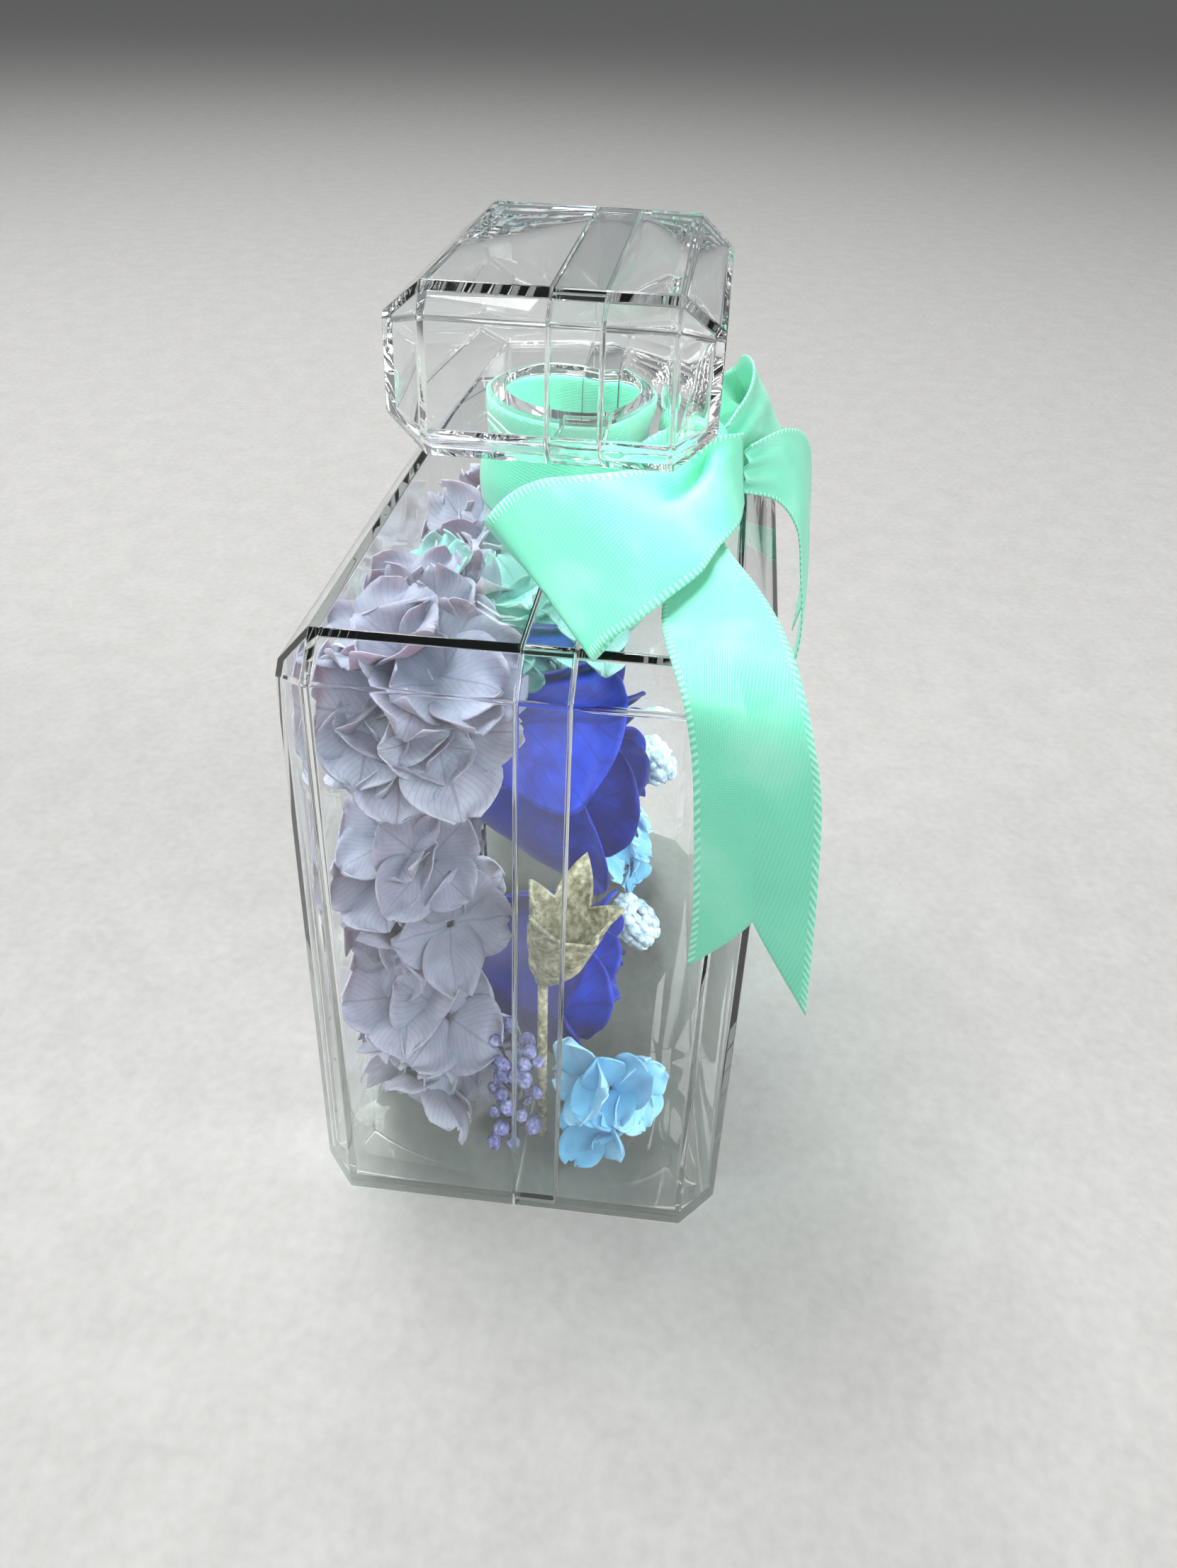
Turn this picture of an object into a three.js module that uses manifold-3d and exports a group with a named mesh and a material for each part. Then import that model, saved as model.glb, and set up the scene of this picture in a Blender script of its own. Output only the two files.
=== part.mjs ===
// Preserved roses and hydrangea in a clear perfume-bottle case, tied at the neck with a satin bow.
// Millimetres, +Z up. The origin is on the table under the middle of the bottle, +X runs along the
// bottle's width and -Y is its front, the way the roses face.
import * as THREE from "three";
import { ConvexGeometry } from "three/addons/geometries/ConvexGeometry.js";
import { mergeVertices } from "three/addons/utils/BufferGeometryUtils.js";
import Module from "manifold-3d";

// ---- driving dimensions ----
const BODY = { width: 100, depth: 60, low: 0, high: 92.5, cut: 5, inset: 6, rise: 5, footBevel: false };
const STOPPER = { width: 56, depth: 40, low: 106.5, high: 127, cut: 3.2, inset: 4.2, rise: 5, footBevel: true };
const NECK_RADIUS = 12;
const WALL = 1.8;
const CLEARANCE = 0.3; // air between pieces that meet
const TONGUE = { length: 6, outside: 1.1 }; // inner lip of the back shell, and its depth under the skin
const RIM_WALL = 0.8; // what is left of the front shell's wall outside the tongue
const RIBBON_THICK = 0.5;
const NECK_WRAP = { inner: 12.3, outer: 12.9, low: 92.9, high: 106.1 };
const PETAL_THICK = 0.5;
const SEPAL_THICK = 0.7;

const COLOURS = {
  acrylic: 0xeef6f4,
  satin: 0x7cf0c9,
  rose: 0x1f36b4,
  sepalGreen: 0x39506b,
  lavenderGrey: 0xa9a7b8,
  paleBlue: 0x8fd0ea,
  teal: 0x7fb9b4,
  dryGold: 0x9c977c,
  budViolet: 0x6e70a6,
  moss: 0xb4ccdc,
  glue: 0xdedccb,
};

// ---- solids ----
const wasm = await Module();
wasm.setup();

function toManifold(geometry) {
  const bare = geometry.clone();
  bare.deleteAttribute("normal");
  bare.deleteAttribute("uv");
  const merged = mergeVertices(bare, 1e-4);
  const vertProperties = new Float32Array(merged.attributes.position.array);
  const triVerts = new Uint32Array(merged.index.array);
  return new wasm.Manifold(new wasm.Mesh({ numProp: 3, vertProperties, triVerts }));
}

function toGeometry(solid) {
  const mesh = solid.getMesh();
  const geometry = new THREE.BufferGeometry();
  geometry.setAttribute("position", new THREE.BufferAttribute(new Float32Array(mesh.vertProperties), 3));
  geometry.setIndex(new THREE.BufferAttribute(new Uint32Array(mesh.triVerts), 1));
  geometry.computeVertexNormals();
  return geometry;
}

function union(solids) {
  return solids.reduce((sum, solid) => sum.add(solid));
}

function box(low, high) {
  const size = high.map((value, axis) => value - low[axis]);
  const geometry = new THREE.BoxGeometry(...size);
  geometry.translate(...high.map((value, axis) => (value + low[axis]) / 2));
  return toManifold(geometry);
}

// A seeded random number between 0 and 1, so that the natural pieces come out the same each time.
function makeRandom(seed) {
  let state = seed;
  return () => {
    state = (state * 1664525 + 1013904223) % 4294967296;
    return state / 4294967296;
  };
}

// ---- the bottle ----
const MITRE = Math.tan(Math.PI / 8); // how far a 45 degree corner cut slides as its outline shrinks

// Half of the front outline, from the top round to the foot, drawn in by `inset`.
function halfOutline(block, inset, footInset) {
  const side = block.width / 2 - inset;
  const cut = block.cut + MITRE * inset;
  const points = [
    [block.width / 2 - cut, block.high - inset],
    [side, block.high - cut],
  ];
  if (block.footBevel) {
    points.push([side, block.low + cut], [block.width / 2 - cut, block.low + inset]);
  } else {
    points.push([side, block.low + footInset]);
  }
  return points;
}

// The faceted block of the body or of the stopper, with every face moved in by `skin`.
function bottleBlock(block, skin) {
  const slope = Math.hypot(block.inset, block.rise);
  const rings = [
    { y: block.depth / 2 - block.rise - (skin * (slope - block.rise)) / block.inset, inset: skin },
    { y: block.depth / 2 - skin, inset: block.inset + (skin * (slope - block.inset)) / block.rise },
  ];
  const points = [];
  for (const ring of rings) {
    for (const [x, z] of halfOutline(block, ring.inset, skin)) {
      for (const mirrorX of [-1, 1]) {
        for (const mirrorY of [-1, 1]) {
          points.push(new THREE.Vector3(mirrorX * x, mirrorY * ring.y, z));
        }
      }
    }
  }
  return toManifold(new ConvexGeometry(points));
}

// The whole bottle as one solid whose skin lies `skin` inside the real outer skin.
function bottle(skin) {
  const low = BODY.high - skin - 1;
  const high = STOPPER.low + skin + 1;
  const neck = new THREE.CylinderGeometry(NECK_RADIUS - skin, NECK_RADIUS - skin, high - low, 48);
  neck.rotateX(Math.PI / 2);
  neck.translate(0, 0, (low + high) / 2);
  return union([bottleBlock(BODY, skin), toManifold(neck), bottleBlock(STOPPER, skin)]);
}

function slab(yLow, yHigh) {
  return box([-BODY.width, yLow, -1], [BODY.width, yHigh, STOPPER.high + 1]);
}

const hollowBottle = bottle(0).subtract(bottle(WALL));

function frontShell() {
  const half = hollowBottle.intersect(slab(-BODY.depth, -CLEARANCE / 2));
  const rebate = bottle(RIM_WALL).intersect(slab(-TONGUE.length - CLEARANCE, 0));
  return toGeometry(half.subtract(rebate));
}

function backShell() {
  const half = hollowBottle.intersect(slab(CLEARANCE / 2, BODY.depth));
  const tongue = bottle(TONGUE.outside).subtract(bottle(WALL)).intersect(slab(-TONGUE.length, 1));
  return toGeometry(half.add(tongue));
}

// ---- thin curved sheets ----
// A sheet of `thick` over surface(u, v), with u and v from 0 to 1.
function sheet(surface, thick, across, along) {
  const geometry = new THREE.BoxGeometry(1, 1, 1, across, along, 1);
  const place = geometry.attributes.position;
  const step = 1e-3;
  for (let i = 0; i < place.count; i += 1) {
    const u = place.getX(i) + 0.5;
    const v = place.getY(i) + 0.5;
    const point = surface(u, v);
    const alongU = surface(u + step, v).sub(surface(u - step, v));
    const alongV = surface(u, v + step).sub(surface(u, v - step));
    const normal = alongU.cross(alongV).normalize();
    point.addScaledVector(normal, place.getZ(i) * thick);
    place.setXYZ(i, point.x, point.y, point.z);
  }
  return geometry;
}

// ---- the ribbon ----
// Each stretch of ribbon runs between its two woven edges, given as points from the knot outwards.
const RIBBON_RUNS = {
  ribbon_near_loop: {
    upper: [[0.6, -23.4, 103.6], [-5.2, -19.4, 104.6], [-7.6, -13.2, 101.6], [-14, -9, 102.6],
      [-26, -3.6, 105.8], [-34.5, 0, 108], [-40.2, 2.5, 108.2], [-42.6, 4.2, 106.6],
      [-41, 4.4, 104.8], [-32, 2.6, 102.8], [-20, -3.5, 101.2], [-9, -11.5, 99.4]],
    lower: [[-4.8, -24.6, 95.6], [-11.5, -23.9, 95.2], [-20, -21.4, 95.3], [-28.4, -19.4, 95.4],
      [-36, -15.8, 95.2], [-42.6, -12.2, 94.7], [-48.2, -9.5, 94.9], [-50.4, -8.6, 94],
      [-48.4, -9, 93.4], [-37, -12, 93.6], [-24, -13.6, 94.8], [-12, -14.8, 96.2]],
    steps: 24,
  },
  ribbon_far_loop: {
    upper: [[4.6, -20.4, 103.2], [13, -23.4, 105.6], [24, -24, 106.4], [34, -22.6, 104.8],
      [39.2, -21.4, 101.4], [38.6, -19.4, 100.4], [30, -16, 101.8], [18, -14.8, 102],
      [7, -15.2, 101.6]],
    lower: [[5, -22.8, 95.2], [12.5, -27, 94], [22, -30.6, 92.4], [31.5, -33.4, 88.4],
      [36.8, -34.8, 84.2], [37.6, -32.8, 85.6], [34.5, -30.6, 93.8], [20, -19.6, 94.2],
      [8, -17.6, 94.6]],
    steps: 24,
  },
  ribbon_near_tail: {
    upper: [[-7.5, -20.4, 93.9], [-18, -22.8, 93.9], [-28, -26.2, 94.1], [-38, -28.8, 94.6],
      [-48, -30.8, 94.4], [-55.4, -32.8, 90.6], [-57.8, -34.6, 83.5], [-58.5, -35.6, 73.5],
      [-58.2, -36.4, 62], [-57.5, -37, 52]],
    lower: [[-7, -16.8, 93.2], [-18, -16, 93.2], [-28, -15.3, 93.2], [-38, -15.4, 93.5],
      [-47, -16.8, 94], [-53, -18.8, 91.6], [-55, -20.4, 85.5], [-55.8, -21.5, 75.5],
      [-55.8, -22.2, 65], [-55.4, -22.2, 56]],
    steps: 20,
  },
  ribbon_far_tail: {
    upper: [[4.8, -24.4, 100.6], [11, -29.6, 101.2], [17.5, -33.4, 97.6], [22, -35.4, 89], [24.2, -36.2, 76],
      [26.4, -35.6, 61.5]],
    lower: [[3.6, -24.0, 94.0], [5.6, -29.6, 92.2], [6.2, -33.0, 88.2], [6.6, -34.4, 80], [7.6, -35.4, 70],
      [9.2, -34.6, 58.5]],
    steps: 18,
  },
};

function ribbonRun(run) {
  const curves = [run.upper, run.lower].map(
    (points) => new THREE.CatmullRomCurve3(points.map((point) => new THREE.Vector3(...point)), false, "centripetal"),
  );
  const clamp = (value) => Math.min(1, Math.max(0, value));
  const surface = (u, v) => {
    const top = curves[0].getPoint(clamp(v));
    const foot = curves[1].getPoint(clamp(v));
    return top.lerp(foot, u);
  };
  return sheet(surface, RIBBON_THICK, 2, run.steps);
}

function neckWrap() {
  const { inner, outer, low, high } = NECK_WRAP;
  const profile = [[inner, low], [outer, low], [outer, high], [inner, high], [inner, low]];
  const geometry = new THREE.LatheGeometry(profile.map(([r, z]) => new THREE.Vector2(r, z)), 40);
  geometry.rotateX(Math.PI / 2);
  return geometry;
}

const KNOT = { centre: [0, -18.4, 99.4], size: [8.4, 7.6, 10.6] };

function knot() {
  const geometry = new THREE.SphereGeometry(0.5, 14, 10);
  geometry.rotateX(Math.PI / 2);
  const place = geometry.attributes.position;
  const boxy = (value) => Math.sign(value) * Math.pow(Math.abs(value * 2), 0.7) / 2;
  for (let i = 0; i < place.count; i += 1) {
    place.setXYZ(i, boxy(place.getX(i)), boxy(place.getY(i)), boxy(place.getZ(i)));
  }
  geometry.scale(...KNOT.size);
  geometry.translate(...KNOT.centre);
  return geometry;
}

// ---- the roses ----
// A rose is drawn opening along +Z with its base at the origin, then turned to face its own way.
const ROSE_RINGS = [
  { name: "inner", petals: 3, radius: 0.46, rise: 0.94, flare: 0.04, start: 0.2 },
  { name: "middle", petals: 3, radius: 0.66, rise: 0.9, flare: 0.12, start: 0.9 },
  { name: "outer", petals: 4, radius: 0.85, rise: 0.78, flare: 0.26, start: 0.5 },
];
const ROSES = {
  upper_rose: { base: [-8, 16.5, 52.4], radius: 16.8, height: 33, tilt: 0.06, yaw: 0.05 },
  lower_rose: { base: [-17.2, 15.5, 17.4], radius: 13.6, height: 30, tilt: -0.03, yaw: 0.03 },
};
const CUP_BASE = 0.5; // a petal's radius at its base, as a share of its full radius

function petalSurface(rose, ring, index) {
  const middle = ring.start + (index / ring.petals) * 2 * Math.PI;
  const reach = (1.16 * Math.PI) / ring.petals;
  const pitch = 0.86;
  return (u, v) => {
    const side = 2 * u - 1;
    const widthShare = 0.5 + 0.5 * Math.sin(Math.min(1, v * 1.5) * (Math.PI / 2));
    const crown = 1 - 0.16 * v * side * side;
    const cup = CUP_BASE + (1 - CUP_BASE) * Math.sin(Math.min(1, v * 1.6) * (Math.PI / 2));
    const flare = ring.flare * v * v * v;
    const radius = rose.radius * ring.radius * (cup + flare) + pitch * side * cup;
    const angle = middle + side * reach * widthShare;
    const height = rose.height * (0.04 + ring.rise * v * crown);
    return new THREE.Vector3(radius * Math.cos(angle), radius * Math.sin(angle), height);
  };
}

function roseHeart(rose) {
  const radius = rose.radius * 0.36;
  const profile = [[0, 0.05], [0.45, 0.05], [0.8, 0.3], [0.86, 0.6], [0.7, 0.85], [0.4, 0.98], [0, 1.0]];
  const points = profile.map(([r, z]) => new THREE.Vector2(radius * r, rose.height * z * 0.97));
  const geometry = new THREE.LatheGeometry(points, 14);
  geometry.rotateX(Math.PI / 2);
  return geometry;
}

function roseCalyx(rose) {
  const profile = [[0, -2.4], [2.2, -2.4], [4.4, -0.4], [5.2, 0.6], [0, 0.6]];
  const geometry = new THREE.LatheGeometry(profile.map(([r, z]) => new THREE.Vector2(r, z)), 12);
  geometry.rotateX(Math.PI / 2);
  return geometry;
}

// LatheGeometry turns about Y: after rotateX its height runs along +Z.
function placeRose(geometry, rose) {
  geometry.rotateX(Math.PI / 2 + rose.tilt);
  geometry.rotateZ(rose.yaw);
  geometry.translate(...rose.base);
  return geometry;
}

// ---- the small flowers ----
// One four-lobed floret: a thin cupped disc with waved edges, facing +Z.
function floret(radius, random) {
  const waist = 0.55 * radius;
  const profile = [
    [0, -SEPAL_THICK], [waist, -SEPAL_THICK], [radius, -SEPAL_THICK], [radius, 0], [waist, 0], [0, 0],
  ];
  const geometry = new THREE.LatheGeometry(profile.map(([r, z]) => new THREE.Vector2(r, z)), 12);
  geometry.rotateX(Math.PI / 2);
  const twist = random() * Math.PI;
  const wave = 0.06 + 0.05 * random();
  const place = geometry.attributes.position;
  for (let i = 0; i < place.count; i += 1) {
    const x = place.getX(i);
    const y = place.getY(i);
    const r = Math.hypot(x, y);
    if (r > 0) {
      const share = r / radius;
      const angle = Math.atan2(y, x);
      const lobe = 1 - 0.3 * share * (0.5 - 0.5 * Math.cos(4 * angle + twist));
      const lift = radius * (0.22 * share * share + wave * share * Math.sin(5 * angle + twist));
      place.setXYZ(i, x * lobe, y * lobe, place.getZ(i) + lift);
    }
  }
  return geometry;
}

// Sprigs of florets: the middle of each, the way it faces, how far its florets spread from the middle,
// the floret radius, and where its stem ends against the case.
const SPRIGS = {
  grey_hydrangea_foot_near: {
    at: [-37.8, 16.4, 17], face: [-1, 0.1, 0.2], spread: [0, 5, 7.6], florets: 4, size: 7.6,
    root: [-30, 27.4, 10], colour: "lavenderGrey",
  },
  grey_hydrangea_mid_near: {
    at: [-38, 17.6, 47], face: [-1, 0.1, 0.25], spread: [0, 4.4, 7.4], florets: 4, size: 7.6,
    root: [-29, 27.4, 45], colour: "lavenderGrey",
  },
  grey_hydrangea_top_near: {
    at: [-36, 17.2, 77.4], face: [-0.8, 0.05, 0.6], spread: [2.6, 4, 5], florets: 4, size: 7.6,
    root: [-29, 27.4, 70], colour: "lavenderGrey",
  },
  grey_hydrangea_back_low: {
    at: [6, 22.6, 20], face: [0, 1, 0], spread: [10, 0, 6], florets: 3, size: 7.4,
    root: [7, 15.5, 2.6], colour: "lavenderGrey",
  },
  grey_hydrangea_back_mid: {
    at: [14, 22.6, 46], face: [0, 1, 0.1], spread: [8, 0, 6], florets: 3, size: 7.4,
    root: [24, 14, 38], colour: "lavenderGrey",
  },
  grey_hydrangea_top_back: {
    at: [-7, 18.5, 80.5], face: [-0.2, 0.5, 0.9], spread: [8, 4, 0], florets: 3, size: 7.4,
    root: [-6, 27.4, 71], colour: "lavenderGrey",
  },
  grey_hydrangea_top_far: {
    at: [24, 17, 76], face: [0.3, 0.5, 0.8], spread: [9, 4, 3], florets: 4, size: 7.6,
    root: [24, 27.4, 64], colour: "lavenderGrey",
  },
  grey_hydrangea_end_far: {
    at: [38, 15, 34], face: [1, 0.2, 0.2], spread: [0, 5, 12], florets: 4, size: 7.6,
    root: [31, 27.4, 30], colour: "lavenderGrey",
  },
  teal_hydrangea_top: {
    at: [-9, -3, 80.5], face: [-0.2, -0.3, 1], spread: [7, 5, 0], florets: 3, size: 6.6,
    root: [-12, 27.4, 71.5], colour: "teal",
  },
  teal_hydrangea_far: {
    at: [28, -14, 60], face: [0.3, -1, 0.3], spread: [7, 0, 7], florets: 4, size: 7,
    root: [33, 27.4, 60], colour: "teal",
  },
  pale_blue_hydrangea_near: {
    at: [-39.5, -13, 14], face: [-0.9, -0.4, 0.3], spread: [0, 3.6, 4.6], florets: 3, size: 5.6,
    root: [-34, -6, 2.6], colour: "paleBlue",
  },
  pale_blue_hydrangea_far: {
    at: [28, -13, 17], face: [0.2, -1, 0.3], spread: [8, 0, 6], florets: 4, size: 6.8,
    root: [28, -4, 2.6], colour: "paleBlue",
  },
};

function rod(from, to, radius) {
  const start = new THREE.Vector3(...from);
  const end = new THREE.Vector3(...to);
  const path = new THREE.LineCurve3(start, end);
  const section = new THREE.Shape();
  section.absarc(0, 0, radius, 0, 2 * Math.PI);
  return new THREE.ExtrudeGeometry(section, { steps: 1, extrudePath: path, curveSegments: 3 });
}

// Florets stand round a knuckle behind them, each on its own stalk, as they branch from one stem.
function sprig(spec, seed) {
  const random = makeRandom(seed);
  const facing = new THREE.Vector3(...spec.face).normalize();
  const middle = new THREE.Vector3(...spec.at);
  const knuckle = middle.clone().addScaledVector(facing, -spec.size * 0.9);
  const solids = [];
  for (let i = 0; i < spec.florets; i += 1) {
    const angle = (2 * Math.PI * i) / spec.florets + 0.6;
    const offset = new THREE.Vector3(
      spec.spread[0] * Math.cos(angle),
      spec.spread[1] * (spec.spread[0] > 0 ? Math.sin(angle) : Math.cos(angle)),
      spec.spread[2] * Math.sin(angle),
    );
    const centre = middle.clone().add(offset);
    const lean = facing.clone().addScaledVector(offset, 0.035).normalize();
    const bloom = floret(spec.size * (0.9 + 0.15 * random()), random);
    bloom.applyQuaternion(new THREE.Quaternion().setFromUnitVectors(new THREE.Vector3(0, 0, 1), lean));
    bloom.translate(centre.x, centre.y, centre.z);
    solids.push(toManifold(bloom));
    solids.push(toManifold(rod(knuckle.toArray(), centre.clone().addScaledVector(lean, -0.3).toArray(), 0.5)));
  }
  const ball = new THREE.IcosahedronGeometry(1.3, 0);
  ball.translate(knuckle.x, knuckle.y, knuckle.z);
  solids.push(toManifold(ball), toManifold(rod(knuckle.toArray(), spec.root, 0.8)));
  return toGeometry(union(solids));
}

// A dry seed pod: a rough cup whose rim runs out in a few long points.
const POD = { at: [-38, -2.4, 44], radius: 5, height: 15, points: 5, stemFoot: [-35.4, -3.8, 2.6] };

function seedPod() {
  const profile = [[0, 0], [0.4, 0], [0.85, 0.2], [1, 0.5], [0.9, 1], [0.72, 1], [0.78, 0.5], [0.5, 0.25], [0, 0.2]];
  const points = profile.map(([r, z]) => new THREE.Vector2(r * POD.radius, z * POD.height));
  const geometry = new THREE.LatheGeometry(points, 20);
  geometry.rotateX(Math.PI / 2);
  const place = geometry.attributes.position;
  for (let i = 0; i < place.count; i += 1) {
    const x = place.getX(i);
    const y = place.getY(i);
    const share = place.getZ(i) / POD.height;
    const point = Math.max(0, Math.cos(POD.points * Math.atan2(y, x)));
    const spread = 1 + 0.65 * point * share * share;
    place.setXYZ(i, x * spread, y * spread, place.getZ(i) + 3 * point * share * share);
  }
  geometry.rotateX(0.25);
  geometry.translate(POD.at[0], POD.at[1], POD.at[2] - POD.height / 2);
  const stem = rod([POD.at[0], POD.at[1], POD.at[2] - POD.height / 2 + 0.8], POD.stemFoot, 0.8);
  return toGeometry(toManifold(geometry).add(toManifold(stem)));
}

// Buds on thin dark stalks that branch from one stem.
const BUD_SPRAYS = {
  bud_spray_near: { at: [-39.4, 1.8, 2.6], reach: [5, 3.4, 25], buds: 9 },
  bud_spray_far: { at: [42.4, -2, 2.6], reach: [3, 4, 52], buds: 9 },
};

function budSpray(spec, seed) {
  const random = makeRandom(seed);
  const [x, y, z] = spec.at;
  const top = [x, y, z + spec.reach[2] * 0.75];
  const solids = [toManifold(rod(spec.at, top, 0.7))];
  for (let i = 0; i < spec.buds; i += 1) {
    const angle = i * 2.4;
    const share = (i + 1) / spec.buds;
    const from = [x, y, z + spec.reach[2] * 0.68 * share];
    const wide = 0.55 + 0.45 * random();
    const to = [
      x + spec.reach[0] * wide * Math.cos(angle),
      y + spec.reach[1] * wide * Math.sin(angle),
      from[2] + spec.reach[2] * 0.2,
    ];
    const bud = new THREE.IcosahedronGeometry(1.3, 0);
    bud.translate(...to);
    solids.push(toManifold(rod(from, to, 0.35)), toManifold(bud));
  }
  return toGeometry(union(solids));
}

// Cushions of knobbly preserved moss.
const MOSSES = {
  moss_low: { at: [6, -15.5, 8.4], reach: [7, 6, 6], knobs: 7, stemFoot: [6, -10, 2.6] },
  moss_high: { at: [21, -17, 39.5], reach: [5, 5, 5.5], knobs: 6, stemFoot: [27, 27.4, 31.5] },
};

function moss(spec, seed) {
  const random = makeRandom(seed);
  const solids = [];
  for (let i = 0; i < spec.knobs; i += 1) {
    const knob = new THREE.IcosahedronGeometry(0.6, 0);
    const turn = i * 2.4;
    const drift = i === 0 ? 0 : 0.42;
    knob.scale(...spec.reach);
    knob.translate(
      spec.at[0] + spec.reach[0] * drift * Math.cos(turn),
      spec.at[1] + spec.reach[1] * drift * Math.sin(turn),
      spec.at[2] + spec.reach[2] * (random() - 0.5),
    );
    solids.push(toManifold(knob));
  }
  solids.push(toManifold(rod(spec.at, spec.stemFoot, 0.8)));
  return toGeometry(union(solids));
}

// Hot-melt pads that hold the roses to the back shell.
const GLUE_PADS = {
  upper_rose_glue: { at: [-8.2, 23.6, 52.3], radius: 5, length: 8.4 },
  lower_rose_glue: { at: [-17.4, 23.2, 17.5], radius: 4.4, length: 9.2 },
};

function gluePad(spec) {
  const half = spec.length / 2;
  const profile = [[0, -half], [0.7, -half], [0.8, 0], [1, half], [0, half]];
  const points = profile.map(([r, y]) => new THREE.Vector2(r * spec.radius, y));
  const geometry = new THREE.LatheGeometry(points, 16);
  geometry.translate(...spec.at);
  return geometry;
}

// ---- the assembly ----
const model = new THREE.Group();

function add(name, geometry, colour, roughness) {
  const material = new THREE.MeshStandardMaterial({ color: COLOURS[colour], roughness, metalness: 0 });
  const mesh = new THREE.Mesh(geometry, material);
  mesh.name = name;
  model.add(mesh);
}

add("front_shell", frontShell(), "acrylic", 0.05);
add("back_shell", backShell(), "acrylic", 0.05);

add("ribbon_neck_wrap", neckWrap(), "satin", 0.4);
add("ribbon_knot", knot(), "satin", 0.4);
for (const [name, run] of Object.entries(RIBBON_RUNS)) {
  add(name, ribbonRun(run), "satin", 0.4);
}

for (const [name, rose] of Object.entries(ROSES)) {
  add(`${name}_calyx`, placeRose(roseCalyx(rose), rose), "sepalGreen", 0.7);
  add(`${name}_heart`, placeRose(roseHeart(rose), rose), "rose", 0.6);
  for (const ring of ROSE_RINGS) {
    for (let index = 0; index < ring.petals; index += 1) {
      const petal = sheet(petalSurface(rose, ring, index), PETAL_THICK, 5, 5);
      add(`${name}_${ring.name}_petal_${index + 1}`, placeRose(petal, rose), "rose", 0.6);
    }
  }
}

Object.entries(SPRIGS).forEach(([name, spec], index) => {
  add(name, sprig(spec, 101 + index), spec.colour, 0.75);
});
add("seed_pod", seedPod(), "dryGold", 0.85);
Object.entries(BUD_SPRAYS).forEach(([name, spec], index) => {
  add(name, budSpray(spec, 301 + index), "budViolet", 0.8);
});
Object.entries(MOSSES).forEach(([name, spec], index) => {
  add(name, moss(spec, 401 + index), "moss", 0.9);
});
for (const [name, spec] of Object.entries(GLUE_PADS)) {
  add(name, gluePad(spec), "glue", 0.35);
}

export default model;
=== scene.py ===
"""Preserved roses and hydrangea in a clear perfume-bottle case, tied with a satin bow.

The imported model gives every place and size. This script makes the visible surfaces: the moulded
acrylic shells, the satin ribbon, the roses petal by petal, and the small dried flowers.
"""

import logging
import math
import random
from dataclasses import dataclass, field
from enum import Enum
from typing import Callable, Sequence

import bmesh
import bpy
from mathutils import Matrix, Vector, noise


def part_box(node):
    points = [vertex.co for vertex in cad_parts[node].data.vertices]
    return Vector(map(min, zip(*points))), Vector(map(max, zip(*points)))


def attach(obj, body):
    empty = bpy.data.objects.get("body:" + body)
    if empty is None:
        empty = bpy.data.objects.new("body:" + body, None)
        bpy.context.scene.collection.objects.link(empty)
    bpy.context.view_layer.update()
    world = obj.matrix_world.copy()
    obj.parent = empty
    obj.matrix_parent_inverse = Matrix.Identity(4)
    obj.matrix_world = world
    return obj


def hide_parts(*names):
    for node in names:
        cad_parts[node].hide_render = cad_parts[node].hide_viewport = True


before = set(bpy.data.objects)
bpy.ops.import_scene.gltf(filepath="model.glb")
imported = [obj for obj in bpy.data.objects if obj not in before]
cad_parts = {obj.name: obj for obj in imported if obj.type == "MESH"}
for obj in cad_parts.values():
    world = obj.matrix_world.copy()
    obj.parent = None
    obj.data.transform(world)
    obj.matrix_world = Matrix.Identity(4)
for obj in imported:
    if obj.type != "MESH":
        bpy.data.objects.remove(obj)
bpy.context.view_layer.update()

LOG = logging.getLogger("bottle")
MM = 0.001
BODY = "root"
Surface = Callable[[float, float], Vector]


# ---------------------------------------------------------------- helpers
def linear(colour: str) -> tuple[float, float, float, float]:
    """Turn an sRGB hex colour into linear light.

    Args:
        colour: Six hex digits after a hash.

    Returns:
        Red, green, blue and an alpha of one.
    """
    shares = [int(colour[i : i + 2], 16) / 255 for i in (1, 3, 5)]
    lit = [s / 12.92 if s <= 0.04045 else ((s + 0.055) / 1.055) ** 2.4 for s in shares]
    return (lit[0], lit[1], lit[2], 1.0)


def add_node(tree: bpy.types.NodeTree, kind: str, inputs: dict | None = None, **settings) -> bpy.types.Node:
    """Add one shader node with its settings, values and links.

    Args:
        tree: The node tree.
        kind: The node's type without the ShaderNode prefix.
        inputs: Input name or number to a value, or to the output socket that feeds it.
        settings: The node's own properties.

    Returns:
        The node.
    """
    node = tree.nodes.new("ShaderNode" + kind)
    for name, value in settings.items():
        setattr(node, name, value)
    for name, value in (inputs or {}).items():
        socket = node.inputs[name]
        if isinstance(value, bpy.types.NodeSocket):
            tree.links.new(value, socket)
        else:
            socket.default_value = value
    return node


def math_node(tree: bpy.types.NodeTree, operation: str, *values) -> bpy.types.NodeSocket:
    """Add a Math node.

    Args:
        tree: The node tree.
        operation: The sum that it does.
        values: Its inputs in order, each a number or an output socket.

    Returns:
        Its result.
    """
    return add_node(tree, "Math", dict(enumerate(values)), operation=operation).outputs[0]


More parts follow.
